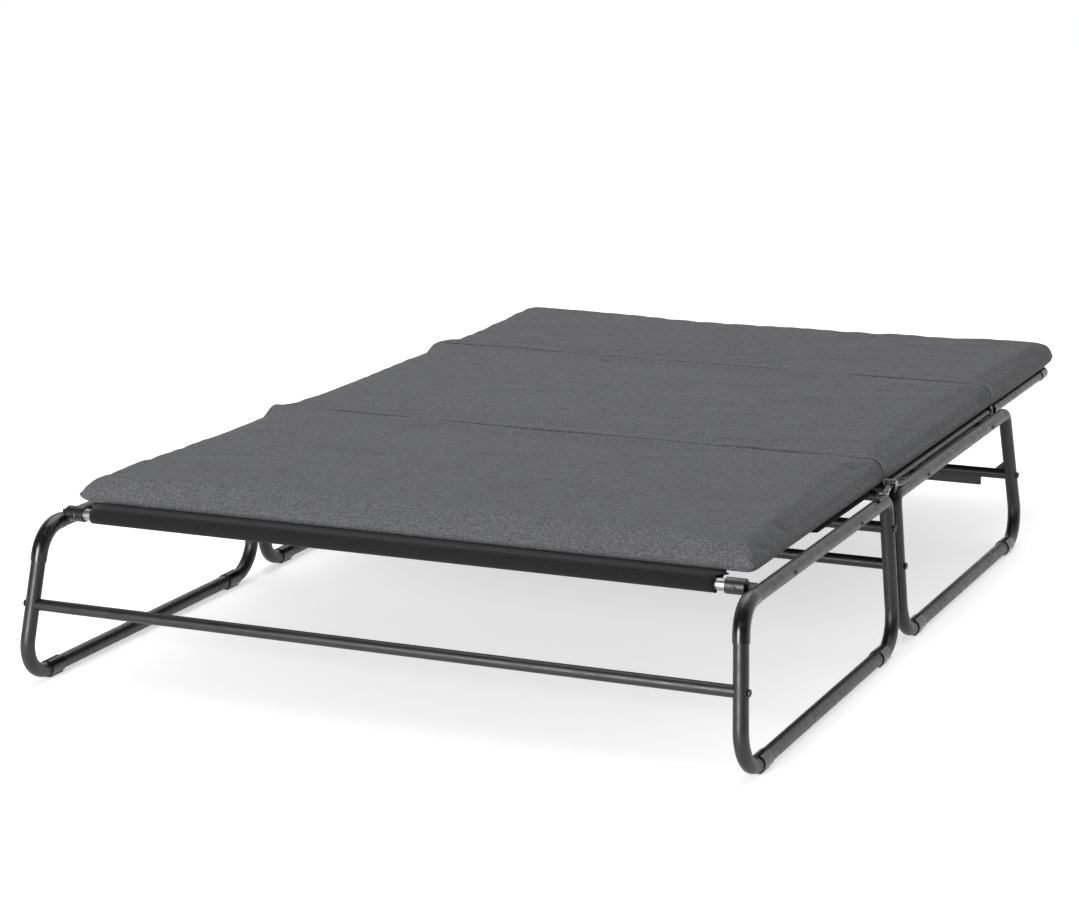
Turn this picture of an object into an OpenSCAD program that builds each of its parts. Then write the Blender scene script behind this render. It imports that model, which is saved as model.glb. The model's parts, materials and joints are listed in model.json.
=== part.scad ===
// Folding sofa bed with a steel tube frame on four leg hoops and a three part mattress,
// shown opened out as a bed. X runs across the bed, Y from the foot end to the head end,
// Z up from the floor. The origin is under the middle of the bed, on the floor.

/* [Side hoops] */
// Outside diameter of the hoop and side rail tube
tube_d = 25; // [20:0.5:30]
// Wall of the hoop and side rail tube
tube_wall = 1.5; // [1:0.1:2.5]
// Length of one hoop along its side rail, corner to corner on the tube's centre line
hoop_len = 730; // [600:5:880]
// Gap between the facing legs of a front and a rear hoop, centre to centre
hoop_gap = 50; // [44:1:60]
// Height of the side rails' centre line above the floor
rail_z = 270; // [235:5:325]
// How far the feet of the sloping end legs stand out beyond the rail's corner
foot_out = 50; // [20:5:70]
// How far each skid stands out sideways from the rail above it
splay = 20; // [8:1:30]
// Centre line radius of the two bends at a skid
skid_bend_r = 60; // [45:1:70]
// Centre line radius of the bend under a corner cover
cover_bend_r = 55; // [40:1:60]
// Centre line radius of the sharp corners
sharp_bend_r = 17; // [16:1:22]

/* [Corner covers and glides] */
// Wall of the plastic corner cover
cover_wall = 1.4; // [1:0.1:2]
// Gap between a corner cover and the tube inside it, on the diameter
cover_gap = 0.2; // [0.1:0.1:0.6]
// Length of straight tube that a corner cover takes in past each end of the bend
cover_lap = 11; // [6:1:16]
// Wall of the plastic glide on a skid
glide_wall = 2; // [1.5:0.1:3]
// Length of a glide
glide_len = 40; // [30:1:50]
// Height of the flat sole below a glide's sleeve
sole_h = 0.7; // [0.5:0.1:2]
// Width of the flat sole
sole_w = 14; // [10:1:18]

/* [Cross bars] */
// Outside diameter of the cross bars
bar_d = 20; // [16:0.5:22]
// Wall of the cross bars
bar_wall = 1.5; // [1:0.1:2.5]
// Height of the low cross bars' centre line
low_bar_z = 143; // [120:1:150]
// Height of the high cross bar between the front hoops' upright legs
high_bar_z = 222; // [215:1:228]
// Thickness of the steel strip under the rear cross bar
strip_t = 3; // [2:0.5:4]
// Height of the steel strip under the rear cross bar
strip_h = 16; // [10:1:20]

/* [Foot end tube] */
// Distance of the foot end tube behind the front corners
foot_tube_y = 60; // [56:1:70]
// Height of the foot end tube's centre line above the side rails' centre line
foot_tube_rise = 13; // [10:1:14]
// Outside diameter of the foot end tube
foot_tube_d = 20; // [16:0.5:22]
// Thickness of the cloth hem round the foot end tube
foot_hem_t = 4; // [2:0.5:4]

/* [Lying frame] */
// Outside diameter of the inner rails
inner_d = 19; // [15:0.5:20]
// Wall of the inner rails and sling tubes
inner_wall = 1.2; // [1:0.1:2]
// Gap between an inner rail and the side rail beside it
inner_gap = 2; // [1.5:0.5:4]
// Height of the inner rails' centre line above the side rails' centre line
inner_rise = 8; // [5:1:9]
// Distance from the mid hinge to the nearest sling tube on either side
mid_tube_set = 30; // [28:1:34]
// Distance from the head hinge to the sling tube in front of it
seat_tube_set = 56; // [54:1:62]
// Distance from the head hinge to the sling tube behind it
head_tube_set = 40; // [38:1:50]
// How far the mattress overhangs the head end tube's cloth
end_overhang = 6; // [0:1:20]
// Centre line radius of the head frame's rear corners
head_corner_r = 45; // [30:1:60]
// Thickness of the sling cloth
sling_t = 2; // [1:0.5:3]
// Distance from the edge of the sling cloth to the inner rail
sling_side_gap = 6; // [3:1:12]

/* [Hinges] */
// Height of the mid hinge's axis above the side rails' centre line
mid_pin_rise = 26; // [25:0.5:32]
// Diameter of the mid hinge pin
mid_pin_d = 6; // [5:0.5:7]
// Outside diameter of the mid hinge's knuckles
knuckle_d = 13; // [11:0.5:14]
// Width of one knuckle
knuckle_w = 6; // [5:0.5:7]
// Thickness of the hinge leaves
leaf_t = 3; // [2:0.5:4]
// Length of a hinge leaf along its side rail
leaf_len = 46; // [36:1:60]
// Diameter of the head hinge's round plates
plate_d = 25; // [22:0.5:26]
// Thickness of each head hinge plate
plate_t = 5; // [3:0.5:6]
// Diameter of the head hinge pin
head_pin_d = 8; // [6:0.5:9]
// Length of plate between the head hinge and the end of each inner rail
plate_reach = 23; // [21:1:30]
// Distance of the head hinge behind the mattress's rear seam
head_pin_set = 20; // [10:1:26]

/* [Mattress] */
// Width of the mattress
pad_w = 1200; // [1000:10:1450]
// Distance from the mattress's edge out to a side rail's centre line
rail_set = 20; // [15:1:30]
// Thickness of the mattress
pad_t = 50; // [40:1:60]
// Distance of the mattress behind the front corners
pad_front = 92; // [80:1:110]
// Distance of the mattress's rear seam in front of the rear hoops' end corners
rear_seam_set = 52; // [40:1:70]
// Length of the head mattress section
pad_head_len = 505; // [420:5:610]
// Thickness of the mattress cover's cloth
cloth_t = 1.5; // [1:0.5:3]
// Gap between two mattress sections at their seam
seam_gap = 1; // [0.5:0.5:4]
// Gap between the slings and the mattress lying on them
rest_gap = 0.2; // [0.1:0.1:1]

/* [Fasteners] */
// Diameter of the bolts that hold the cross bars
bolt_d = 6; // [4:0.5:7]
// Diameter of the screws in the rails, brackets and hinges
screw_d = 4; // [3:0.5:4.5]
// Gap between a pin, bolt or screw and its hole, on the diameter
fit_gap = 0.4; // [0.2:0.1:0.8]
// Side gap between hinge parts that turn against each other
side_gap = 0.5; // [0.3:0.1:1]

/* [Hidden] */
$fn = 48;

frame_black = "#1e1e20";
plastic_black = "#141416";
steel_grey = "#8f8f92";
sling_black = "#26272a";
cloth_grey = "#56575a";
foam_white = "#e8e4d8";

tube_r = tube_d / 2;
bar_r = bar_d / 2;
inner_r = inner_d / 2;
skid_z = tube_r + glide_wall + sole_h;
drop = rail_z - skid_z;
rail_x = pad_w / 2 + rail_set;
// The hoop lies in a plane that tilts outwards, so its height in that plane is a little more
tilt = atan(splay / drop);
plane_h = drop / cos(tilt);
lean = atan(foot_out / plane_h);
mid_y = hoop_len + hoop_gap / 2;
rear_end_y = 2 * mid_y;
inner_x = rail_x - tube_r - inner_gap - inner_r;
inner_z = rail_z + inner_rise;
mid_pin_z = rail_z + mid_pin_rise;
foot_tube_z = rail_z + foot_tube_rise;
pad_z = inner_z + inner_r + sling_t + rest_gap;
pad_mid_end = rear_end_y - rear_seam_set;
pad_end = pad_mid_end + pad_head_len;
head_pin_y = pad_mid_end + head_pin_set;
head_pin_z = inner_z;
head_tube_r = inner_r + sling_t;
head_end_y = pad_end - head_tube_r - end_overhang;
mid_tube_front_y = mid_y - mid_tube_set;
mid_tube_rear_y = mid_y + mid_tube_set;
seat_tube_y = head_pin_y - seat_tube_set;
head_tube_y = head_pin_y + head_tube_set;
sling_w = 2 * (inner_x - inner_r - sling_side_gap);
front_sling_w = 2 * (rail_x - tube_r - inner_gap);
cover_cut = cover_bend_r * tan((90 - lean) / 2);
sharp_cut = sharp_bend_r * tan((90 - lean) / 2);
skid_cut = skid_bend_r * tan((90 + lean) / 2);
// The bed's foremost point is on the skid bend of the front hoops
bend_front = -foot_out + skid_cut - skid_bend_r - tube_r;
y_shift = -(bend_front + pad_end) / 2;
low_leg_y = -foot_out * (rail_z - low_bar_z) / drop;
bolt_head_d = 2 * bolt_d;
bolt_head_h = 0.6 * bolt_d;
// The legs lean outwards, so a bolt's flat head only meets one at its lower edge
bolt_seat = tube_r * (1 / cos(tilt) - 1) + bolt_head_d / 2 * tan(tilt) + 0.1;
screw_head_d = 2 * screw_d;
screw_head_h = 0.6 * screw_d;
bolt_grip = 14;

// Distance from the middle plane to a hoop's centre line at height z
function side_x(z) = rail_x + splay * (rail_z - z) / drop;

// A bend's ends reach this angle past the straight lengths, which are this much thinner
bend_lap = 1;
bend_step = 0.1;

// Everything is drawn from the front corners and moved so that the origin is mid-bed
module placed() { translate([0, y_shift, 0]) children(); }
module right() { placed() children(); }
module left() { placed() mirror([1, 0, 0]) children(); }
module both() {
    children();
    mirror([1, 0, 0]) children();
}
module along_x() { rotate([0, 90, 0]) children(); }
module along_y() { rotate([-90, 0, 0]) children(); }
module at_rear() { translate([0, rear_end_y, 0]) mirror([0, 1, 0]) children(); }

module ring(d, wall) {
    difference() {
        circle(d = d);
        circle(d = d - 2 * wall);
    }
}
module pipe(len, d, wall) { linear_extrude(len) ring(d, wall); }
module pipe_x(half, d, wall) { translate([-half, 0, 0]) along_x() pipe(2 * half, d, wall); }

// Bend in the Y-Z plane about the point (y, z), from angle a0 to a1 anticlockwise from +Y
module bend(y, z, r, a0, a1) {
    translate([0, y, z]) rotate([90, 0, 90]) rotate([0, 0, a0])
        rotate_extrude(angle = a1 - a0) translate([r, 0]) children();
}

// Straight length in the Y-Z plane from (y, z) along the direction a
module run(y, z, a, len) {
    translate([0, y, z]) rotate([a - 90, 0, 0]) linear_extrude(len) children();
}

// Puts a flat hoop, drawn with its rail on Y and its skid below, in its tilted plane
module in_hoop_plane() {
    translate([rail_x, 0, rail_z]) rotate([0, -tilt, 0]) children();
}

// Centre line of one hoop's legs, skid and corners. The first child is the profile of the
// bends and the second that of the straight lengths, whose ends sit just inside the bends'.
module hoop_path(top_r) {
    top_cut = top_r * tan((90 - lean) / 2);
    leg_len = plane_h / cos(lean) - top_cut - skid_cut;
    bend(top_cut, -top_r, top_r, 90, 180 - lean + bend_lap) children(0);
    run(-top_cut * sin(lean), -top_cut * cos(lean), -90 - lean, leg_len) children(1);
    bend(-foot_out + skid_cut, -plane_h + skid_bend_r, skid_bend_r,
         180 - lean - bend_lap, 270 + bend_lap) children(0);
    run(-foot_out + skid_cut, -plane_h, 0, hoop_len + foot_out - skid_cut - skid_bend_r)
        children(1);
    bend(hoop_len - skid_bend_r, -plane_h + skid_bend_r, skid_bend_r,
         270 - bend_lap, 360 + bend_lap) children(0);
    run(hoop_len, -plane_h + skid_bend_r, 90, plane_h - skid_bend_r - sharp_bend_r) children(1);
    bend(hoop_len - sharp_bend_r, -sharp_bend_r, sharp_bend_r, -bend_lap, 90) children(0);
}
module hoop_tube(top_r) {
    in_hoop_plane() hoop_path(top_r) {
        ring(tube_d, tube_wall);
        ring(tube_d - bend_step, tube_wall - bend_step);
    }
}

module bolt_hole(x, y, z, d) {
    translate([x - 2 * tube_r, y, z]) along_x() cylinder(d = d + fit_gap, h = 4 * tube_r);
}

module front_hoop() {
    color(frame_black) difference() {
        hoop_tube(cover_bend_r);
        bolt_hole(side_x(low_bar_z), low_leg_y, low_bar_z, bolt_d);
        bolt_hole(side_x(high_bar_z), hoop_len, high_bar_z, bolt_d);
    }
}
module rear_hoop() {
    color(frame_black) difference() {
        at_rear() hoop_tube(sharp_bend_r);
        bolt_hole(side_x(low_bar_z), rear_end_y - low_leg_y, low_bar_z, bolt_d);
        bolt_hole(side_x(low_bar_z), rear_end_y - hoop_len, low_bar_z, bolt_d);
    }
}

// Side rails: straight tubes that close the hoops, drilled for their screws
rail_screw_front = [218, 560];
rail_screw_rear = [127, 560];
module rail_hole(y) {
    translate([rail_x, y, rail_z]) along_x() cylinder(d = screw_d + fit_gap, h = 2 * tube_r);
}
module leaf_hole(y) {
    translate([rail_x, y, rail_z]) cylinder(d = screw_d + fit_gap, h = 2 * tube_r);
}
leaf_screw_y = [hoop_len - sharp_bend_r - 10, hoop_len - sharp_bend_r - leaf_len + 12];
module side_rail(start, screws) {
    translate([rail_x, start, rail_z]) along_y()
        pipe(hoop_len - sharp_bend_r - start, tube_d, tube_wall);
}
module front_side_rail() {
    color(frame_black) difference() {
        side_rail(cover_cut);
        for (y = rail_screw_front) rail_hole(y);
        for (y = leaf_screw_y) leaf_hole(y);
    }
}
module rear_side_rail() {
    color(frame_black) at_rear() difference() {
        side_rail(sharp_cut);
        for (y = rail_screw_rear) rail_hole(y);
        for (y = leaf_screw_y) leaf_hole(y);
    }
}

// Glossy cover over the front corner, with a groove along its outer and inner faces
cover_d = tube_d + cover_gap + 2 * cover_wall;
module cover_profile(step) {
    groove_w = 3;
    groove_deep = 0.6;
    difference() {
        ring(cover_d - step, cover_wall - step);
        for (x = [-cover_d / 2, cover_d / 2])
            translate([x, 0]) square([2 * groove_deep, groove_w + step], center = true);
    }
}
module corner_cover() {
    color(plastic_black) in_hoop_plane() {
        bend(cover_cut, -cover_bend_r, cover_bend_r, 90 - bend_lap, 180 - lean + bend_lap)
            cover_profile(0);
        run(cover_cut, 0, 0, cover_lap) rotate(90) cover_profile(bend_step);
        run(-cover_cut * sin(lean), -cover_cut * cos(lean), -90 - lean, cover_lap)
            rotate(90) cover_profile(bend_step);
    }
}

// Clip-on glides at both ends of a skid, each with a slit on top and a flat sole
module glide(y) {
    slit = 4;
    x = rail_x + splay;
    difference() {
        union() {
            translate([x, y, skid_z]) along_y() cylinder(d = tube_d + 2 * glide_wall, h = glide_len);
            translate([x - sole_w / 2, y, 0]) cube([sole_w, glide_len, skid_z]);
        }
        translate([x, y - 1, skid_z]) along_y() cylinder(d = tube_d, h = glide_len + 2);
        translate([x - slit / 2, y - 1, skid_z]) cube([slit, glide_len + 2, tube_d]);
    }
}
module hoop_glides() {
    glide(-foot_out + skid_cut);
    glide(hoop_len - skid_bend_r - glide_len);
}
module front_glides() { color(plastic_black) both() hoop_glides(); }
module rear_glides() { color(plastic_black) both() at_rear() hoop_glides(); }

// Solid leg used to shape what seats against it
module leg_shapes() {
    in_hoop_plane() {
        hoop_leg_len = plane_h / cos(lean);
        run(0, 0, -90 - lean, hoop_leg_len) circle(d = tube_d);
        run(hoop_len, -plane_h, 90, plane_h) circle(d = tube_d);
    }
}

// Cross bar with end plugs that are hollowed to sit against the legs
module cross_bar(y, z) {
    plug_len = bolt_grip + tube_r;
    x = side_x(z);
    translate([0, y, z]) {
        pipe_x(x - plug_len, bar_d, bar_wall);
        both() translate([x - plug_len, 0, 0]) along_x() difference() {
            cylinder(d = bar_d, h = plug_len);
            translate([0, 0, -1]) cylinder(d = bolt_d + fit_gap, h = plug_len + 2);
        }
    }
}
module front_low_bar() {
    color(frame_black) difference() {
        cross_bar(low_leg_y, low_bar_z);
        both() leg_shapes();
    }
}
module front_high_bar() {
    color(frame_black) difference() {
        cross_bar(hoop_len, high_bar_z);
        both() leg_shapes();
    }
}
module middle_low_bar() {
    color(frame_black) at_rear() difference() {
        cross_bar(hoop_len, low_bar_z);
        both() leg_shapes();
    }
}
module rear_low_bar() {
    color(frame_black) at_rear() difference() {
        cross_bar(low_leg_y, low_bar_z);
        both() leg_shapes();
    }
}

// Steel strip welded under the rear cross bar, and the gussets at that bar's ends
strip_end = 60;
module rear_bar_strip() {
    half = side_x(low_bar_z) - strip_end;
    y = rear_end_y - low_leg_y;
    color(frame_black) difference() {
        translate([-half, y - strip_t / 2, low_bar_z - bar_r - strip_h])
            cube([2 * half, strip_t, strip_h + bar_r / 2]);
        translate([0, y, low_bar_z]) along_x() cylinder(d = bar_d, h = 4 * half, center = true);
    }
}
module rear_bar_gussets() {
    leg = 30;
    y = low_leg_y;
    color(frame_black) at_rear() difference() {
        both() translate([side_x(low_bar_z), y + strip_t / 2, low_bar_z]) rotate([90, 0, 0])
            linear_extrude(strip_t) polygon([[0, 0], [-leg - tube_r, 0], [0, leg + bar_r]]);
        both() leg_shapes();
        translate([0, y, low_bar_z]) along_x() cylinder(d = bar_d, h = 3 * rail_x, center = true);
    }
}

// Button head fasteners, head outwards, with the shank along the local -Z
module button(d, head_d, head_h, shank) {
    difference() {
        union() {
            rotate_extrude() intersection() {
                translate([0, head_h - head_d]) circle(r = head_d);
                square([head_d / 2, head_h]);
            }
            translate([0, 0, -shank]) cylinder(d = d, h = shank);
        }
        translate([0, 0, head_h / 2]) cylinder(d = d * 0.7, h = head_h, $fn = 6);
    }
}
module bar_bolt(y, z) {
    translate([side_x(z) + tube_r + bolt_seat, y, z]) along_x()
        button(bolt_d, bolt_head_d, bolt_head_h, tube_d + bolt_grip - 2 + bolt_seat);
}
module front_bar_bolts() {
    color(steel_grey) both() {
        bar_bolt(low_leg_y, low_bar_z);
        bar_bolt(hoop_len, high_bar_z);
    }
}
module rear_bar_bolts() {
    color(steel_grey) both() at_rear() {
        bar_bolt(low_leg_y, low_bar_z);
        bar_bolt(hoop_len, low_bar_z);
    }
}

// Screws in the outer faces of the side rails
module rail_screw(y) {
    translate([rail_x + tube_r, y, rail_z]) along_x()
        button(screw_d, screw_head_d, screw_head_h, tube_wall + screw_head_h);
}
module leaf_screw(y) {
    translate([rail_x, y, rail_z + tube_r + leaf_t])
        button(screw_d, screw_head_d, screw_head_h, leaf_t + tube_wall + screw_head_h);
}
module front_rail_screws() {
    color(steel_grey) both() {
        for (y = rail_screw_front) rail_screw(y);
        for (y = leaf_screw_y) leaf_screw(y);
    }
}
module rear_rail_screws() {
    color(steel_grey) both() at_rear() {
        for (y = rail_screw_rear) rail_screw(y);
        for (y = leaf_screw_y) leaf_screw(y);
    }
}

// Foot end tube, held by a pressed bracket against each side rail
bracket_wall = 3;
bracket_len = 30;
bracket_d = foot_tube_d + fit_gap + 2 * bracket_wall;
foot_tube_half = rail_x - tube_r - cover_wall - 2;
foot_stub = 12;
foot_hem_half = foot_tube_half - bracket_len - foot_stub;
bracket_screw_x = foot_tube_half - bracket_len / 2;
module foot_tube() {
    color(steel_grey) difference() {
        translate([0, foot_tube_y, foot_tube_z]) pipe_x(foot_tube_half, foot_tube_d, bar_wall);
        both() translate([bracket_screw_x, foot_tube_y, foot_tube_z]) along_y()
            cylinder(d = screw_d + fit_gap, h = 2 * foot_tube_d, center = true);
    }
}
module foot_tube_bracket() {
    tab_t = 4;
    difference() {
        union() {
            translate([foot_tube_half - bracket_len, foot_tube_y, foot_tube_z]) along_x()
                cylinder(d = bracket_d, h = bracket_len + 2);
            // tab that reaches out and rests on the side rail
            translate([foot_tube_half, foot_tube_y + 2, rail_z])
                cube([rail_x - foot_tube_half, bracket_d / 2 - 2, tube_r + cover_wall + tab_t]);
        }
        translate([foot_tube_half - bracket_len - 1, foot_tube_y, foot_tube_z]) along_x()
            cylinder(d = foot_tube_d + fit_gap, h = bracket_len + 1);
        translate([bracket_screw_x, foot_tube_y, foot_tube_z]) along_y()
            cylinder(d = screw_d + fit_gap, h = 2 * bracket_d, center = true);
        translate([rail_x, 0, rail_z]) along_y() cylinder(d = tube_d, h = hoop_len);
    }
}
module foot_tube_brackets() { color(frame_black) both() foot_tube_bracket(); }
module foot_tube_screws() {
    color(steel_grey) both() translate([bracket_screw_x, foot_tube_y - bracket_d / 2, foot_tube_z])
        rotate([90, 0, 0]) button(screw_d, screw_head_d, screw_head_h, bracket_d + 2);
}

// Sling: cloth between two tubes with a hem sewn round each
module sling(y0, z0, d0, t0, half0, y1, z1, d1, half1, width) {
    top = z1 + d1 / 2;
    difference() {
        union() {
            translate([-width / 2, y0, top]) cube([width, y1 - y0, sling_t]);
            translate([0, y0, z0]) along_x() cylinder(d = d0 + 2 * t0, h = 2 * half0, center = true);
            translate([0, y1, z1]) along_x()
                cylinder(d = d1 + 2 * sling_t, h = 2 * half1, center = true);
        }
        translate([0, y0, z0]) along_x() cylinder(d = d0, h = 3 * rail_x, center = true);
        translate([0, y1, z1]) along_x() cylinder(d = d1, h = 3 * rail_x, center = true);
    }
}
module front_sling_tube() {
    half = rail_x - tube_r - 1;
    color(frame_black) translate([0, mid_tube_front_y, inner_z]) pipe_x(half, inner_d, inner_wall);
}
module front_sling() {
    notch_gap = 1;
    color(sling_black) difference() {
        sling(foot_tube_y, foot_tube_z, foot_tube_d, foot_hem_t, foot_hem_half,
              mid_tube_front_y, inner_z, inner_d, sling_w / 2, front_sling_w);
        // the cloth's corners are cut away round the brackets
        both() translate([foot_tube_half - bracket_len - notch_gap, foot_tube_y, foot_tube_z])
            along_x() cylinder(d = bracket_d + 2 * notch_gap, h = rail_x);
    }
}
module middle_sling() {
    color(sling_black)
        sling(mid_tube_rear_y, inner_z, inner_d, sling_t, sling_w / 2,
              seat_tube_y, inner_z, inner_d, sling_w / 2, sling_w);
}
module head_sling() {
    color(sling_black)
        sling(head_tube_y, inner_z, inner_d, sling_t, sling_w / 2,
              head_end_y, inner_z, inner_d, inner_x - head_corner_r - sling_side_gap, sling_w);
}

// Inner rails and sling tubes of the middle section. Each tube's end is shaped to the one
// it is welded to, a weld's gap away.
weld_gap = 0.1;
module inner_bore() {
    both() translate([inner_x, 0, inner_z]) along_y()
        cylinder(d = inner_d + 2 * weld_gap, h = 2 * rear_end_y);
}
module middle_rail() {
    y0 = mid_tube_rear_y;
    color(frame_black) difference() {
        translate([inner_x, y0, inner_z]) along_y()
            pipe(head_pin_y - plate_reach - y0, inner_d, inner_wall);
        translate([0, y0, inner_z]) along_x()
            cylinder(d = inner_d + 2 * weld_gap, h = 3 * rail_x, center = true);
    }
}
module fitted_tube(y) {
    difference() {
        translate([0, y, inner_z]) pipe_x(inner_x, inner_d, inner_wall);
        inner_bore();
    }
}
module middle_front_tube() {
    half = rail_x - tube_r - 1;
    color(frame_black) translate([0, mid_tube_rear_y, inner_z]) pipe_x(half, inner_d, inner_wall);
}
module middle_rear_tube() { color(frame_black) fitted_tube(seat_tube_y); }
module head_front_tube() { color(frame_black) fitted_tube(head_tube_y); }

// Spacers between the inner rails and the side rails of the rear hoops
spacer_y = [rail_screw_rear[0], rail_screw_rear[1]];
module rail_spacers() {
    spacer_len = 30;
    spacer_h = 12;
    color(frame_black) both() for (y = spacer_y) difference() {
        translate([inner_x, rear_end_y - y - spacer_len / 2, rail_z - spacer_h / 2 + inner_rise / 2])
            cube([rail_x - inner_x, spacer_len, spacer_h]);
        translate([rail_x, 0, rail_z]) along_y() cylinder(d = tube_d, h = 2 * rear_end_y);
        translate([inner_x, 0, inner_z]) along_y() cylinder(d = inner_d, h = 2 * rear_end_y);
    }
}

// Mid hinge: knuckles stand over the gap between two hoops, leaves lie on the side rails
knuckle_x = rail_x - 1.5 * knuckle_w - side_gap;
leaf_w = 3 * knuckle_w + 2 * side_gap;
module knuckle(x) {
    translate([x, mid_y, mid_pin_z]) along_x() cylinder(d = knuckle_d, h = knuckle_w);
}
module leaf(xs) {
    leaf_end = hoop_len - sharp_bend_r;
    leaf_z = rail_z + tube_r;
    // The web rises from the leaf to the knuckle
    web_y = mid_y - knuckle_d / 2;
    difference() {
        union() {
            for (x = xs) {
                knuckle(x);
                translate([x, leaf_end - 4, leaf_z]) rotate([90, 0, 90]) linear_extrude(knuckle_w)
                    polygon([[0, 0], [mid_y - leaf_end + 4, mid_pin_z - leaf_z - knuckle_d / 2],
                        [mid_y - leaf_end + 4, mid_pin_z - leaf_z + 1], [0, leaf_t]]);
            }
            translate([knuckle_x, leaf_end - leaf_len, leaf_z]) cube([leaf_w, leaf_len, leaf_t]);
        }
        translate([rail_x, mid_y, mid_pin_z]) along_x()
            cylinder(d = mid_pin_d + fit_gap, h = 6 * knuckle_w, center = true);
        for (y = leaf_screw_y) leaf_hole(y);
    }
}
module front_hinge_leaf() {
    color(steel_grey) leaf([knuckle_x + knuckle_w + side_gap]);
}
module rear_hinge_leaf() {
    color(steel_grey) at_rear()
        leaf([knuckle_x, knuckle_x + 2 * (knuckle_w + side_gap)]);
}
module mid_hinge_pins() {
    head_t = 2;
    pin_len = leaf_w + 2 * fit_gap;
    color(steel_grey) both() translate([knuckle_x - fit_gap, mid_y, mid_pin_z]) along_x() {
        cylinder(d = mid_pin_d, h = pin_len);
        translate([0, 0, -head_t]) cylinder(d = mid_pin_d + 3, h = head_t);
        translate([0, 0, pin_len]) cylinder(d = mid_pin_d + 3, h = head_t);
    }
}

// Head hinge: two round plates side by side on a pin, the outer one turning with the head
base_x = inner_x - plate_t - side_gap / 2;
arm_x = inner_x + side_gap / 2;
module hinge_plate(x, dir) {
    difference() {
        union() {
            translate([x, head_pin_y, head_pin_z]) along_x() cylinder(d = plate_d, h = plate_t);
            translate([x, head_pin_y + (dir < 0 ? -plate_reach : 0), head_pin_z - inner_r * 0.7])
                cube([plate_t, plate_reach, inner_r * 1.4]);
        }
        translate([x - 1, head_pin_y, head_pin_z]) along_x()
            cylinder(d = head_pin_d + fit_gap, h = plate_t + 2);
    }
}
module head_hinge_base() { color(steel_grey) hinge_plate(base_x, -1); }
module head_hinge_arm() { color(steel_grey) hinge_plate(arm_x, 1); }
module head_hinge_pins() {
    head_t = 2;
    grip = 2 * plate_t + side_gap + fit_gap;
    color(steel_grey) both() translate([base_x - fit_gap / 2, head_pin_y, head_pin_z]) along_x() {
        cylinder(d = head_pin_d, h = grip);
        translate([0, 0, -head_t]) cylinder(d = head_pin_d + 5, h = head_t);
        translate([0, 0, grip]) cylinder(d = head_pin_d + 5, h = head_t);
    }
}

// Head frame: two rails and an end tube with rounded corners
module head_rail() {
    y0 = head_pin_y + plate_reach;
    color(frame_black) translate([inner_x, y0, inner_z]) along_y()
        pipe(head_end_y - head_corner_r - y0, inner_d, inner_wall);
}
module head_end_tube() {
    half = inner_x - head_corner_r;
    color(frame_black) {
        translate([0, head_end_y, inner_z]) pipe_x(half, inner_d, inner_wall);
        both() translate([half, head_end_y - head_corner_r, inner_z])
            rotate_extrude(angle = 90) translate([head_corner_r, 0]) ring(inner_d, inner_wall);
    }
}
// Plastic caps over the joints between the head rails and the end tube
module head_corner_caps() {
    cap_len = 36;
    cap_wall = 1.5;
    color(plastic_black) both()
        translate([inner_x, head_end_y - head_corner_r - cap_len, inner_z]) along_y()
            pipe(cap_len, inner_d + 2 * cap_wall, cap_wall);
}

// Mattress: a cloth cover round a foam core for each section, ends and sides rounded
module pad_block(y0, y1, inset) {
    r = pad_t / 2 - inset;
    mid_z = pad_z + pad_t / 2;
    half = pad_w / 2 - pad_t / 2;
    span = y1 - y0 - pad_t;
    // slab with half round long sides, cut to half round ends
    intersection() {
        union() {
            translate([-half, y0 + inset, mid_z - r]) cube([2 * half, y1 - y0 - 2 * inset, 2 * r]);
            both() translate([half, y0 + inset, mid_z]) along_y()
                cylinder(r = r, h = y1 - y0 - 2 * inset);
        }
        union() {
            translate([-pad_w, y0 + pad_t / 2, mid_z - r]) cube([2 * pad_w, span, 2 * r]);
            translate([0, y0 + pad_t / 2, mid_z]) along_x() cylinder(r = r, h = 2 * pad_w, center = true);
            translate([0, y1 - pad_t / 2, mid_z]) along_x() cylinder(r = r, h = 2 * pad_w, center = true);
        }
    }
}
module pad_cover(y0, y1) {
    color(cloth_grey) difference() {
        pad_block(y0, y1, 0);
        pad_block(y0, y1, cloth_t);
    }
}
module pad_core(y0, y1) { color(foam_white) pad_block(y0, y1, cloth_t); }
front_span = [pad_front, mid_y - seam_gap / 2];
middle_span = [mid_y + seam_gap / 2, pad_mid_end - seam_gap / 2];
head_span = [pad_mid_end + seam_gap / 2, pad_end];

left() front_hoop();  // front_hoop_l
right() front_hoop();  // front_hoop_r
left() front_side_rail();  // front_side_rail_l
right() front_side_rail();  // front_side_rail_r
left() corner_cover();  // corner_cover_l
right() corner_cover();  // corner_cover_r
placed() front_glides();
placed() foot_tube();
placed() foot_tube_brackets();
placed() foot_tube_screws();
placed() front_low_bar();
placed() front_high_bar();
placed() front_bar_bolts();
placed() front_sling_tube();
placed() front_sling();
placed() front_rail_screws();
left() front_hinge_leaf();  // front_hinge_leaf_l
right() front_hinge_leaf();  // front_hinge_leaf_r
left() rear_hoop();  // rear_hoop_l
right() rear_hoop();  // rear_hoop_r
left() rear_side_rail();  // rear_side_rail_l
right() rear_side_rail();  // rear_side_rail_r
placed() rear_glides();
placed() middle_low_bar();
placed() rear_low_bar();
placed() rear_bar_strip();
placed() rear_bar_gussets();
placed() rear_bar_bolts();
placed() middle_front_tube();
placed() middle_rear_tube();
left() middle_rail();  // middle_rail_l
right() middle_rail();  // middle_rail_r
placed() middle_sling();
placed() rail_spacers();
placed() rear_rail_screws();
left() rear_hinge_leaf();  // rear_hinge_leaf_l
right() rear_hinge_leaf();  // rear_hinge_leaf_r
placed() mid_hinge_pins();
left() head_hinge_base();  // head_hinge_base_l
right() head_hinge_base();  // head_hinge_base_r
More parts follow.
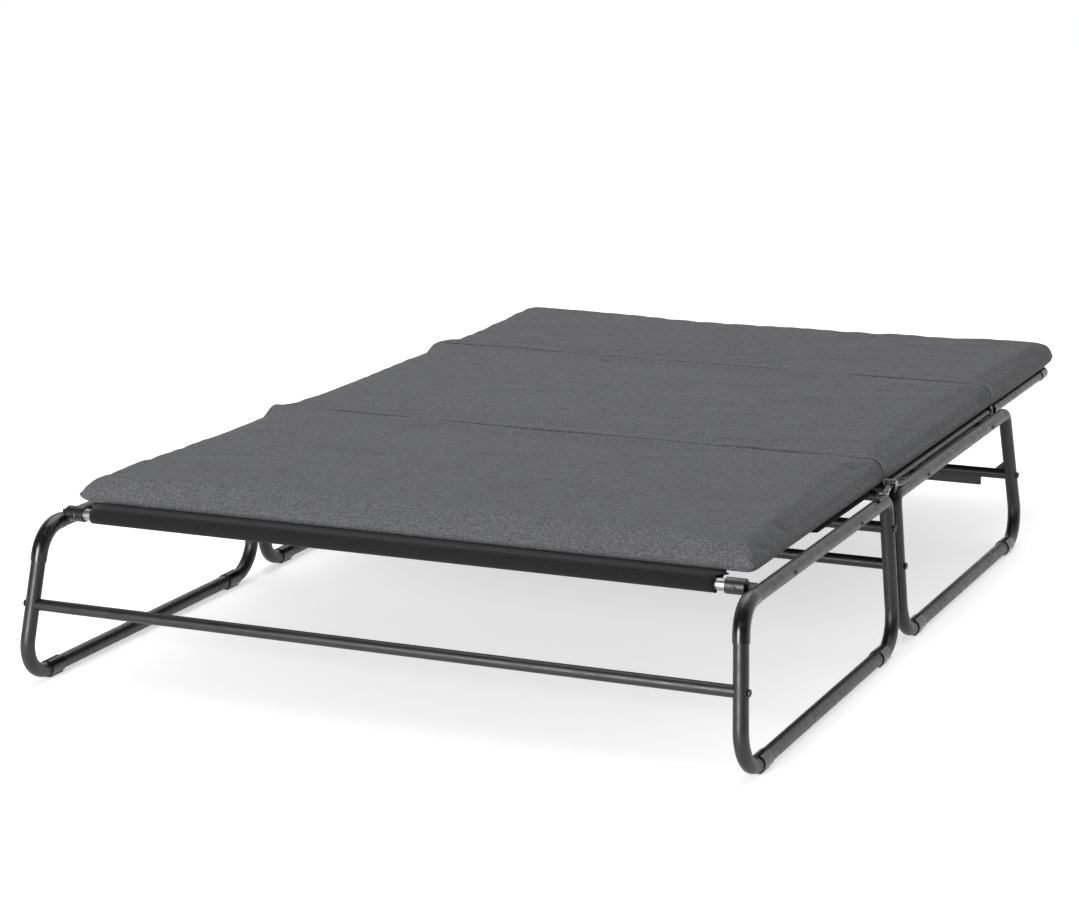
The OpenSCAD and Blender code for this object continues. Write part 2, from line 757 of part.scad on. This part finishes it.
placed() head_hinge_pins();
left() head_rail();  // head_rail_l
right() head_rail();  // head_rail_r
placed() head_front_tube();
placed() head_end_tube();
placed() head_sling();
left() head_hinge_arm();  // head_hinge_arm_l
right() head_hinge_arm();  // head_hinge_arm_r
placed() head_corner_caps();
placed() pad_cover(front_span[0], front_span[1]);  // mattress_cover_front
placed() pad_core(front_span[0], front_span[1]);  // mattress_core_front
placed() pad_cover(middle_span[0], middle_span[1]);  // mattress_cover_middle
placed() pad_core(middle_span[0], middle_span[1]);  // mattress_core_middle
placed() pad_cover(head_span[0], head_span[1]);  // mattress_cover_head
placed() pad_core(head_span[0], head_span[1]);  // mattress_core_head
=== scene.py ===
import json
import math

import bpy
import numpy as np
from mathutils import Matrix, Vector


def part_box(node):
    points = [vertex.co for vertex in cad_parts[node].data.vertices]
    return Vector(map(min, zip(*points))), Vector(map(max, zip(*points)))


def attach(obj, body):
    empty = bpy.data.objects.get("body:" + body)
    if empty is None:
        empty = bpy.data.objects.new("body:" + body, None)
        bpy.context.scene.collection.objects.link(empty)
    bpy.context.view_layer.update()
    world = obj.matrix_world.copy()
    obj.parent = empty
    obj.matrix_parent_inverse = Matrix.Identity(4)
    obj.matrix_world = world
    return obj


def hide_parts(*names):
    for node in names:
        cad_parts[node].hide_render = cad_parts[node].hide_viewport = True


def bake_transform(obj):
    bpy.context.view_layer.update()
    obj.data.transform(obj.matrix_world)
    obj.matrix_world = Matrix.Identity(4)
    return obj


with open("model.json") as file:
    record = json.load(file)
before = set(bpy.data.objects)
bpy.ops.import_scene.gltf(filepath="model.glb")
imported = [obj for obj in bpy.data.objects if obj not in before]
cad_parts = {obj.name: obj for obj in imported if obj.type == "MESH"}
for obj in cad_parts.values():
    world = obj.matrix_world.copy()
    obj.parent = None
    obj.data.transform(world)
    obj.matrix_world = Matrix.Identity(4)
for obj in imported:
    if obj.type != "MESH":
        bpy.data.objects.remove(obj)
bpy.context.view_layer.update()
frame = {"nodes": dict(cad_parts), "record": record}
record = frame["record"]


# ---- Room, light and camera ------------------------------------------------------------
# A plain pale floor and a white backdrop behind the head end, in an otherwise dim room. A
# large soft lamp hangs overhead and a smaller one stands low before the foot end.

def plain_material(name, colour, roughness):
    """A material with one principled shader of the given colour and roughness."""
    m = bpy.data.materials.new(name)
    m.use_nodes = True
    shader = m.node_tree.nodes["Principled BSDF"]
    shader.inputs["Base Color"].default_value = (*colour, 1)
    shader.inputs["Roughness"].default_value = roughness
    return m, m.node_tree, shader


def mesh_piece(name, verts, faces, material, smooth=True):
    """A mesh object at the origin from arrays of points and of faces."""
    mesh = bpy.data.meshes.new(name)
    mesh.from_pydata(np.asarray(verts, float).tolist(), [], np.asarray(faces, int).tolist())
    mesh.update()
    mesh.polygons.foreach_set("use_smooth", np.full(len(mesh.polygons), smooth))
    mesh.materials.append(material)
    piece = bpy.data.objects.new(name, mesh)
    bpy.context.scene.collection.objects.link(piece)
    return piece


floor_half = 30.0
floor_mat, _, floor_shader = plain_material("pale_floor", (0.8, 0.8, 0.8), 0.9)
floor_shader.inputs["Emission Color"].default_value = (1.0, 1.0, 1.0, 1)
floor_shader.inputs["Emission Strength"].default_value = 0.55
floor_corners = floor_half * np.array([[-1, -1, 0], [1, -1, 0], [1, 1, 0], [-1, 1, 0]])
floor = mesh_piece("floor", floor_corners, [[0, 1, 2, 3]], floor_mat)

world = bpy.data.worlds.new("studio")
world.use_nodes = True
sky = world.node_tree
way = sky.nodes.new("ShaderNodeTexCoord")
split = sky.nodes.new("ShaderNodeSeparateXYZ")
fade = sky.nodes.new("ShaderNodeMapRange")
fade.inputs["From Min"].default_value = -0.1
fade.inputs["From Max"].default_value = 0.55
fade.inputs["To Min"].default_value = 0.16
fade.inputs["To Max"].default_value = 1.15
sky.links.new(way.outputs["Generated"], split.inputs["Vector"])
sky.links.new(split.outputs["Y"], fade.inputs["Value"])
sky.links.new(fade.outputs["Result"], sky.nodes["Background"].inputs["Strength"])
sky.nodes["Background"].inputs["Color"].default_value = (1.0, 1.0, 1.0, 1)
bpy.context.scene.world = world
bpy.context.scene.view_settings.view_transform = "Standard"


def soft_lamp(name, place, target, size, power):
    """A square area lamp at a place, turned to face a target."""
    data = bpy.data.lights.new(name, "AREA")
    data.shape = "SQUARE"
    data.size = size
    data.energy = power
    lamp = bpy.data.objects.new(name, data)
    aim = np.array(target, float) - np.array(place, float)
    z = -aim / np.linalg.norm(aim)
    x = np.cross((0.0, 0.0, 1.0), z)
    x /= np.linalg.norm(x)
    y = np.cross(z, x)
    turn = Matrix(np.column_stack((x, y, z)).tolist()).to_4x4()
    lamp.matrix_world = Matrix.Translation(place) @ turn
    bpy.context.scene.collection.objects.link(lamp)


soft_lamp("overhead_lamp", (-0.4, 0.6, 3.4), (0, 0.05, 0.3), 3.0, 75)
soft_lamp("foot_lamp", (-0.6, -5.5, 1.1), (0, -0.4, 0.3), 2.0, 300)

eye = (2.0724, -4.9946, 1.4786)
yaw, pitch, roll = 0.416, 0.223, -0.004
right = np.array([math.cos(yaw), math.sin(yaw), 0.0])
level = math.cos(pitch)
ahead = np.array([-math.sin(yaw) * level, math.cos(yaw) * level, -math.sin(pitch)])
up = np.cross(right, ahead)
cam_x = math.cos(roll) * right + math.sin(roll) * up
cam_y = -math.sin(roll) * right + math.cos(roll) * up
camera_data = bpy.data.cameras.new("camera")
camera_data.sensor_width = 36.0
camera_data.lens = 98.35
camera_data.clip_end = 200.0
camera = bpy.data.objects.new("camera", camera_data)
camera.matrix_world = Matrix.Translation(eye) @ Matrix(
    np.column_stack((cam_x, cam_y, -ahead)).tolist()).to_4x4()
bpy.context.scene.collection.objects.link(camera)
bpy.context.scene.camera = camera


# ---- Tube frame ------------------------------------------------------------------------
# Bent and welded steel tube with a black powder coat: satin, with the fine orange-peel
# ripple of baked powder and slightly worn, smoother patches.

def add_node(tree, kind, **values):
    """A shader node with its properties or sockets set by name."""
    node = tree.nodes.new(kind)
    for key, value in values.items():
        if key in node.inputs:
            node.inputs[key].default_value = value
        else:
            setattr(node, key, value)
    return node


def object_noise(tree, scale, detail=2.0, roughness=0.5):
    """Noise on Object coordinates; scale is in waves a metre, one number or three."""
    coords = tree.nodes.new("ShaderNodeTexCoord")
    mapping = tree.nodes.new("ShaderNodeMapping")
    three = (scale, scale, scale) if isinstance(scale, (int, float)) else scale
    mapping.inputs["Scale"].default_value = three
    noise = add_node(tree, "ShaderNodeTexNoise", Scale=1.0, Detail=detail, Roughness=roughness)
    tree.links.new(coords.outputs["Object"], mapping.inputs["Vector"])
    tree.links.new(mapping.outputs["Vector"], noise.inputs["Vector"])
    return noise.outputs["Fac"]


def ramp(tree, fac, stops):
    """A colour ramp over a factor; stops are (position, colour or grey)."""
    node = tree.nodes.new("ShaderNodeValToRGB")
    elements = node.color_ramp.elements
    while len(elements) > len(stops):
        elements.remove(elements[-1])
    while len(elements) < len(stops):
        elements.new(1.0)
    for element, (position, colour) in zip(elements, stops):
        element.position = position
        rgb = (colour, colour, colour) if isinstance(colour, (int, float)) else colour
        element.color = (*rgb, 1)
    tree.links.new(fac, node.inputs["Fac"])
    return node.outputs["Color"]


def add_bump(tree, shader, height, strength, distance):
    """Bump on a shader from a height; a bump that is already there is added to."""
    bump = add_node(tree, "ShaderNodeBump", Strength=strength, Distance=distance)
    tree.links.new(height, bump.inputs["Height"])
    before = shader.inputs["Normal"].links
    if before:
        tree.links.new(before[0].from_socket, bump.inputs["Normal"])
    tree.links.new(bump.outputs["Normal"], shader.inputs["Normal"])


def powder_coat_material():
    """Black baked powder: dark with faint dust, a satin gloss that varies, fine ripple."""
    m, tree, shader = plain_material("black_powder_coat", (0.016, 0.016, 0.018), 0.4)
    patches = object_noise(tree, 14.0, 4.0)
    tint = ramp(tree, patches, [(0.35, (0.0035, 0.0035, 0.004)), (0.7, (0.008, 0.008, 0.009))])
    tree.links.new(tint, shader.inputs["Base Color"])
    gloss = ramp(tree, object_noise(tree, 60.0, 3.0), [(0.3, 0.34), (0.75, 0.5)])
    tree.links.new(gloss, shader.inputs["Roughness"])
    add_bump(tree, shader, object_noise(tree, 900.0, 1.0), 0.25, 0.0004)
    add_bump(tree, shader, object_noise(tree, 260.0, 2.0), 0.15, 0.0005)
    shader.inputs["Specular IOR Level"].default_value = 0.5
    return m


def finish_nodes(slot_name, material):
    """Gives every CAD node of a material slot this finish."""
    for part in record["subparts"]:
        if part["material_slot"] == slot_name:
            mesh = frame["nodes"][part["node"]].data
            mesh.materials.clear()
            mesh.materials.append(material)


finish_nodes("powder_coat", powder_coat_material())


# ---- Corner covers, glides and end caps --------------------------------------------------
# Injection moulded black plastic, glossier than the coat, with scuffs where the glides
# and covers get touched.

def black_plastic_material():
    """Moulded plastic: near black, glossy, with light scuffs and soft mould ripple."""
    m, tree, shader = plain_material("black_moulded_plastic", (0.012, 0.012, 0.013), 0.3)
    scuffs = object_noise(tree, (90.0, 30.0, 90.0), 6.0, 0.65)
    gloss = ramp(tree, scuffs, [(0.4, 0.2), (0.75, 0.42)])
    tree.links.new(gloss, shader.inputs["Roughness"])
    tint = ramp(tree, scuffs, [(0.5, (0.003, 0.003, 0.0035)), (0.85, (0.012, 0.012, 0.013))])
    tree.links.new(tint, shader.inputs["Base Color"])
    add_bump(tree, shader, object_noise(tree, 420.0, 1.0), 0.12, 0.0003)
    return m


finish_nodes("black_plastic", black_plastic_material())


# ---- Plated steel: foot tube, hinge pins, bolts and screws ---------------------------------
# The foot tube and hinge pins are bright zinc plate with a cloudy grey bloom and fine draw
# lines. Bolts and screws are plated black.

def zinc_material():
    """Zinc plate: grey metal with cloudy patches, fine scratches and a soft shine."""
    m, tree, shader = plain_material("zinc_plated_steel", (0.3, 0.3, 0.31), 0.4)
    shader.inputs["Metallic"].default_value = 1.0
    clouds = object_noise(tree, 70.0, 5.0, 0.6)
    tint = ramp(tree, clouds, [(0.3, (0.2, 0.2, 0.205)), (0.75, (0.42, 0.42, 0.43))])
    tree.links.new(tint, shader.inputs["Base Color"])
    gloss = ramp(tree, object_noise(tree, (40.0, 900.0, 900.0), 2.0), [(0.3, 0.3), (0.7, 0.55)])
    tree.links.new(gloss, shader.inputs["Roughness"])
    add_bump(tree, shader, object_noise(tree, (30.0, 1200.0, 1200.0), 1.0), 0.2, 0.0002)
    return m


finish_nodes("bare_steel", zinc_material())


def black_zinc_material():
    """Black zinc plate on bolts and screws: dark metal, cloudy, with a soft shine."""
    m, tree, shader = plain_material("black_zinc_plate", (0.02, 0.02, 0.021), 0.4)
    clouds = object_noise(tree, 300.0, 3.0)
    tint = ramp(tree, clouds, [(0.35, (0.008, 0.008, 0.008)), (0.7, (0.03, 0.03, 0.032))])
    tree.links.new(tint, shader.inputs["Base Color"])
    gloss = ramp(tree, clouds, [(0.3, 0.3), (0.7, 0.5)])
    tree.links.new(gloss, shader.inputs["Roughness"])
    add_bump(tree, shader, object_noise(tree, 900.0, 1.0), 0.15, 0.0002)
    return m


finish_nodes("black_hardware", black_zinc_material())


# ---- Slings ------------------------------------------------------------------------------
# Black canvas in three lengths. Each is wrapped round a cross tube at both ends and sewn
# to itself underneath, and lies nearly flat under the mattress.

def canvas_material():
    """Canvas: black yarn in a plain weave that runs along X and Y, slightly fuzzy."""
    m, tree, shader = plain_material("black_canvas", (0.02, 0.02, 0.022), 0.85)
    warp = object_noise(tree, (90.0, 1500.0, 1500.0), 1.0)
    weft = object_noise(tree, (1500.0, 90.0, 1500.0), 1.0)
    weave = add_node(tree, "ShaderNodeMath", operation="MAXIMUM")
    tree.links.new(warp, weave.inputs[0])
    tree.links.new(weft, weave.inputs[1])
    tint = ramp(tree, weave.outputs[0], [(0.4, (0.004, 0.004, 0.0045)),
                                         (0.75, (0.013, 0.013, 0.014))])
    tree.links.new(tint, shader.inputs["Base Color"])
    add_bump(tree, shader, weave.outputs[0], 0.35, 0.0006)
    add_bump(tree, shader, object_noise(tree, (6.0, 40.0, 40.0), 3.0), 0.2, 0.004)
    shader.inputs["Sheen Weight"].default_value = 0.04
    shader.inputs["Sheen Roughness"].default_value = 0.5
    shader.inputs["Specular IOR Level"].default_value = 0.15
    return m


def strip_grid(points, xs):
    """Surface swept along X: one row of points in the Y-Z plane at each x, and its quads."""
    rows, cols = len(xs), len(points)
    verts = np.empty((rows, cols, 3))
    verts[..., 0] = np.asarray(xs)[:, None]
    verts[..., 1:] = np.asarray(points)[None]
    i, j = np.meshgrid(np.arange(rows - 1), np.arange(cols - 1), indexing="ij")
    a = i * cols + j
    quads = np.stack((a, a + cols, a + cols + 1, a + 1), -1).reshape(-1, 4)
    return verts, quads


def wrap_arc(centre, radius, start, stop, count):
    """Arc in the Y-Z plane about a centre, in degrees anticlockwise from +Y."""
    t = np.radians(np.linspace(start, stop, count))
    return np.column_stack((centre[0] + radius * np.cos(t), centre[1] + radius * np.sin(t)))


canvas = canvas_material()
canvas_t = 0.0012
tube_clearance = 0.6 * canvas_t
hem_back = 0.045
under_gap = 0.0022
sag = 0.003
ease = 0.012
ripple_depth = 0.0006


def tube_middle(node):
    """Centre line of a cross tube, as (y, z), and its radius."""
    low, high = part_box(node)
    return ((low.y + high.y) / 2, (low.z + high.z) / 2), (high.z - low.z) / 2


def sling(name, body, cad, front, front_r, rear, rear_r, halves):
    """Cloth from under the front tube, over both tubes and back under the rear one. The
    middle length hangs in a shallow curve, and the hems lie close below it. The halves are
    the half widths of the front hem, the span and the rear hem, and it narrows smoothly."""
    fr, rr = front_r + tube_clearance, rear_r + tube_clearance
    top_f = (front[0], front[1] + fr)
    top_r = (rear[0], rear[1] + rr)
    t = np.linspace(0, 1, 40)[1:-1]
    over = np.column_stack((top_f[0] + t * (top_r[0] - top_f[0]),
                            top_f[1] + t * (top_r[1] - top_f[1]) - sag * 4 * t * (1 - t)))

    def hem(side, top, centre, radius):
        """The cloth's end, back under the span from the tube's underside to the seam."""
        s = np.linspace(1, 0, 12)[:-1]
        along = centre[0] + side * hem_back * s
        reach = np.clip((along - centre[0]) * side / hem_back, 0, 1)
        rise = reach ** 0.7 * (top - under_gap - (centre[1] - radius))
        return np.column_stack((along, centre[1] - radius + rise))

    first = hem(1, top_f[1], front, fr)
    last = hem(-1, top_r[1], rear, rr)[::-1]
    profile = np.vstack((first, wrap_arc(front, fr, 270, 90, 15), over,
                         wrap_arc(rear, rr, 90, -90, 15), last))
    verts, quads = strip_grid(profile, np.linspace(-1, 1, 80))
    y, z = profile[:, 0], profile[:, 1]
    over_front = np.where(z < front[1] + front_r, 0, np.clip((y - front[0] - fr) / ease, 0, 1))
    over_rear = np.where(z < rear[1] + rear_r, 0, np.clip((rear[0] - rr - y) / ease, 0, 1))
    at_front = y < (front[0] + rear[0]) / 2
    share = np.where(at_front, over_front, over_rear)
    half = np.where(at_front, halves[0], halves[2]) * (1 - share) + halves[1] * share
    verts[..., 0] *= half[None, :]
    edge = np.abs(verts[..., 0]) / halves[1]
    ripple = ripple_depth * np.sin(verts[..., 0] * 61) * np.sin(verts[..., 1] * 17 + 1) * edge
    between = (verts[..., 1] > front[0] + fr) & (verts[..., 1] < rear[0] - rr)
    verts[..., 2] += np.where(between, -np.abs(ripple), 0)
    piece = mesh_piece(name, verts.reshape(-1, 3), quads, canvas)
    solid = piece.modifiers.new("cloth", "SOLIDIFY")
    solid.thickness = canvas_t
    solid.offset = 0.0
    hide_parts(cad)
    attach(piece, body)


sling_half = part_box("middle_sling")[1].x
front_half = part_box("front_sling")[1].x
foot_c, foot_r = tube_middle("foot_tube")
bracket_length, stub = 0.034, 0.028
foot_hem_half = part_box("foot_tube_brackets")[1].x - bracket_length - stub
foot_hem_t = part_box("front_sling")[1].z - foot_c[1] - foot_r
corner_r = 0.045
end_hem_half = sling_half - corner_r
front_c, front_tube_r = tube_middle("front_sling_tube")
mid_c, mid_r = tube_middle("middle_front_tube")
seat_c, seat_r = tube_middle("middle_rear_tube")
head_c, head_r = tube_middle("head_front_tube")
end_r = head_r
end_c = (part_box("head_end_tube")[1].y - end_r, head_c[1])

sling("front_cloth", "front_section", "front_sling", foot_c, foot_r + foot_hem_t - canvas_t,
      front_c, front_tube_r, (foot_hem_half, front_half, sling_half))
sling("middle_cloth", "middle_section", "middle_sling", mid_c, mid_r, seat_c, seat_r,
      (sling_half, sling_half, sling_half))
sling("head_cloth", "head_section", "head_sling", head_c, head_r, end_c, end_r,
      (sling_half, sling_half, end_hem_half))


# ---- Mattress ----------------------------------------------------------------------------
# Three foam blocks in one cover of dark grey melange polyester, sewn across at two seams.
# The cover has a side seam low on its edge, and lies loose with fine crosswise wrinkles.

def melange_material():
    """Melange: light and dark yarns along X and Y, mottled, matt, with a faint fuzz."""
    m, tree, shader = plain_material("grey_melange", (0.09, 0.092, 0.097), 0.92)
    warp = object_noise(tree, (60.0, 1100.0, 1100.0), 2.0)
    weft = object_noise(tree, (1100.0, 60.0, 1100.0), 2.0)
    yarn = add_node(tree, "ShaderNodeMath", operation="ADD")
    tree.links.new(warp, yarn.inputs[0])
    tree.links.new(weft, yarn.inputs[1])
    flecks = object_noise(tree, (260.0, 420.0, 420.0), 3.0, 0.7)
    blend = add_node(tree, "ShaderNodeMath", operation="MULTIPLY_ADD")
    tree.links.new(yarn.outputs[0], blend.inputs[0])
    blend.inputs[1].default_value = 0.3
    tree.links.new(flecks, blend.inputs[2])
    tint = ramp(tree, blend.outputs[0], [(0.62, (0.046, 0.046, 0.048)),
                                         (0.8, (0.088, 0.089, 0.092)),
                                         (1.0, (0.15, 0.151, 0.155))])
    tree.links.new(tint, shader.inputs["Base Color"])
    add_bump(tree, shader, yarn.outputs[0], 0.3, 0.0005)
    add_bump(tree, shader, object_noise(tree, (9.0, 70.0, 70.0), 3.0), 0.25, 0.003)
    shader.inputs["Sheen Weight"].default_value = 0.03
    shader.inputs["Sheen Roughness"].default_value = 0.6
    shader.inputs["Specular IOR Level"].default_value = 0.08
    return m


melange = melange_material()
# The rim's height in the pad's thickness, at the foot end and a given run towards the head
foot_seam, head_seam = 0.42, 0.3
seam_start, seam_run = -0.95, 1.6
flat_by_seam = 0.06
side_bulge, side_r = 0.006, 0.02
crease_room = 0.003
grid_step = 0.010
puff_cap = 0.008
corner_reach = 0.11


def edge_rows(length, first_r, last_r, step):
    """Distances along a section and the height factor at each: a quarter circle over the
    radius at both ends and full height between, in steps of about the given size."""
    angle = np.radians(np.linspace(0, 90, 8))
    head = first_r * (1 - np.cos(angle))
    tail = length - last_r * (1 - np.cos(angle[::-1]))
    count = max(2, int(round((length - first_r - last_r) / step)))
    middle = np.linspace(first_r, length - last_r, count + 1)[1:-1]
    along = np.concatenate((head, middle, tail))
    height = np.concatenate((np.sin(angle), np.ones(len(middle)), np.sin(angle[::-1])))
    return along, height


def pad_surface(low, high, front_r, rear_r, side_r, step):
    """Closed pad: a top sheet and a bottom sheet over the same plan that share their rim.
    Height over the rim is the product of the height factors across and along the pad."""
    ax, hx = edge_rows(high.x - low.x, side_r, side_r, step)
    ay, hy = edge_rows(high.y - low.y, front_r, rear_r, step)
    nx, ny = len(ax), len(ay)
    x, y = np.meshgrid(low.x + ax, low.y + ay, indexing="ij")
    h = hx[:, None] * hy[None, :]
    back = np.clip((y - seam_start) / seam_run, 0, 1)
    seam_z = low.z + (foot_seam + (head_seam - foot_seam) * back) * (high.z - low.z)
    top = np.stack((x, y, seam_z + (high.z - seam_z) * h), -1)
    bottom = np.stack((x, y, seam_z - (seam_z - low.z) * h ** 0.6), -1)
    index = np.arange(nx * ny).reshape(nx, ny)
    rim = np.zeros((nx, ny), bool)
    rim[[0, -1], :] = True
    rim[:, [0, -1]] = True
    under = index.copy()
    under[~rim] = nx * ny + np.arange((~rim).sum())
    verts = np.vstack((top.reshape(-1, 3), bottom[~rim]))
    a, b, c, d = index[:-1, :-1], index[1:, :-1], index[1:, 1:], index[:-1, 1:]
    upper = np.stack((a, b, c, d), -1).reshape(-1, 4)
    a, b, c, d = under[:-1, :-1], under[1:, :-1], under[1:, 1:], under[:-1, 1:]
    lower = np.stack((a, d, c, b), -1).reshape(-1, 4)
    kind = np.concatenate((np.where(rim.reshape(-1), 1, 0), np.full((~rim).sum(), 2)))
    return verts, np.vstack((upper, lower)), kind


def puffed(piece, kind, cap, ends):
    """The pad after its cover is inflated a little by Cloth, with the rim and the bottom
    held, and no point moved by more than the cap. The top then comes back down to the
    foam's height, and lies flat close to each sewn end."""
    before = np.empty(len(piece.data.vertices) * 3)
    piece.data.vertices.foreach_get("co", before)
    before = before.reshape(-1, 3)
    held = piece.vertex_groups.new(name="held")
    held.add(np.flatnonzero(kind > 0).tolist(), 1.0, "REPLACE")
    cloth = piece.modifiers.new("puff", "CLOTH")
    settings = cloth.settings
    settings.quality = 4
    settings.mass = 0.25
    settings.tension_stiffness = 12
    settings.compression_stiffness = 4
    settings.shear_stiffness = 4
    settings.bending_stiffness = 0.15
    settings.use_pressure = True
    settings.uniform_pressure_force = 4.0
    settings.shrink_min = -0.014
    settings.vertex_group_mass = "held"
    settings.effector_weights.gravity = 0.0
    cloth.point_cache.frame_start = 1
    cloth.point_cache.frame_end = 20
    for number in range(1, 21):
        bpy.context.scene.frame_set(number)
    shape = piece.evaluated_get(bpy.context.evaluated_depsgraph_get()).data
    after = np.empty(len(shape.vertices) * 3)
    shape.vertices.foreach_get("co", after)
    move = after.reshape(-1, 3) - before
    size = np.linalg.norm(move, axis=1, keepdims=True)
    move *= np.minimum(1.0, cap / np.maximum(size, 1e-9))
    top = kind == 0
    level = (before[:, 2] - before[top, 2].min()) / np.ptp(before[top, 2])
    move[:, 2] -= np.median(move[top, 2]) * np.where(top, level, 0)
    for end in ends:
        away = np.clip(np.abs(before[:, 1] - end) / flat_by_seam, 0, 1)
        move *= (0.1 + 0.9 * away * away * (3 - 2 * away))[:, None]
    piece.modifiers.remove(cloth)
    bpy.context.scene.frame_set(1)
    piece.data.vertices.foreach_set("co", (before + move).reshape(-1))
    piece.data.update()


def wrinkles(points, seed, low, high, count, angle, spread, length, width, depth):
    """Height of many long soft creases: each is a Gaussian across its width and a wider one
    along its length, at a seeded place, and turned from X by the angle plus a seeded bit."""
    rng = np.random.default_rng(seed)
    total = np.zeros(len(points))
    for _ in range(count):
        cx = rng.uniform(low.x, high.x)
        cy = rng.uniform(low.y, high.y)
        turn = math.radians(angle + spread * rng.normal())
        half_l = length * rng.uniform(0.5, 1.4) / 2
        half_w = width * rng.uniform(0.7, 1.4) / 2
        size = depth * rng.uniform(0.4, 1.0) * rng.choice((-1.0, 1.0))
        dx, dy = points[:, 0] - cx, points[:, 1] - cy
        along = dx * math.cos(turn) + dy * math.sin(turn)
        across = -dx * math.sin(turn) + dy * math.cos(turn)
        across += 0.06 * half_l * np.sin(along / half_l * 2)
        total += size * np.exp(-(along / half_l) ** 2 - (across / half_w) ** 2)
    return total


class Corner:
    """A point with x, y and z, for a box that isn't a CAD node's."""
    def __init__(self, x, y, z):
        self.x, self.y, self.z = x, y, z


def pad(name, cad, body, front_r, rear_r, seed, corner_round=0.0, fanned=False):
    """One mattress section: a puffed surface in the cover's CAD box, with wrinkles. It may
    have a fan of stronger ones behind its front seam, and rounded rear corners."""
    low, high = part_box(cad)
    low = Corner(low.x - side_bulge, low.y, low.z)
    high = Corner(high.x + side_bulge, high.y, high.z - crease_room)
    verts, faces, kind = pad_surface(low, high, front_r, rear_r, side_r, grid_step)
    piece = mesh_piece(name, verts, faces, melange)
    sewn = 0.01
    ends = [y for y, r in ((low.y, front_r), (high.y, rear_r)) if r < sewn]
    puffed(piece, kind, puff_cap, ends)
    co = np.empty(len(piece.data.vertices) * 3)
    piece.data.vertices.foreach_get("co", co)
    co = co.reshape(-1, 3)
    on_top = np.clip((co[:, 2] - (low.z + 0.6 * (high.z - low.z))) / 0.01, 0, 1)
    creases = wrinkles(co, seed, low, high, count=320, angle=12, spread=9,
                       length=0.13, width=0.013, depth=0.0016)
    creases += wrinkles(co, seed + 1, low, high, count=60, angle=10, spread=16,
                        length=0.3, width=0.028, depth=0.0022)
    if fanned:
        fan_low, fan_high = Corner(0.2, low.y + 0.03, 0), Corner(0.56, low.y + 0.15, 0)
        creases += wrinkles(co, seed + 2, fan_low, fan_high, count=16, angle=30, spread=8,
                            length=0.2, width=0.015, depth=0.0026)
    co[:, 2] += creases * on_top
    if corner_round:
        near_x = np.clip(1 - (high.x - np.abs(co[:, 0])) / corner_reach, 0, 1)
        near_y = np.clip(1 - (high.y - co[:, 1]) / corner_reach, 0, 1)
        pull = corner_round * near_x ** 2 * near_y ** 2
        co[:, 0] -= np.sign(co[:, 0]) * pull
        co[:, 1] -= pull
    piece.data.vertices.foreach_set("co", co.reshape(-1))
    piece.data.update()
    smooth = piece.modifiers.new("smooth", "SUBSURF")
    smooth.levels = 1
    smooth.render_levels = 1
    return piece


foot_pad = pad("mattress_foot_pad", "mattress_cover_front", "foot_pad", 0.042, 0.003, 11)
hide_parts("mattress_cover_front", "mattress_core_front")
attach(foot_pad, "foot_pad")

seat_pad = pad("mattress_seat_pad", "mattress_cover_middle", "seat_pad", 0.003, 0.002, 23,
               fanned=True)
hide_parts("mattress_cover_middle", "mattress_core_middle")
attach(seat_pad, "seat_pad")

head_pad = pad("mattress_head_pad", "mattress_cover_head", "head_section", 0.002, 0.022, 37,
               corner_round=0.004)
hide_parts("mattress_cover_head", "mattress_core_head")
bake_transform(head_pad)
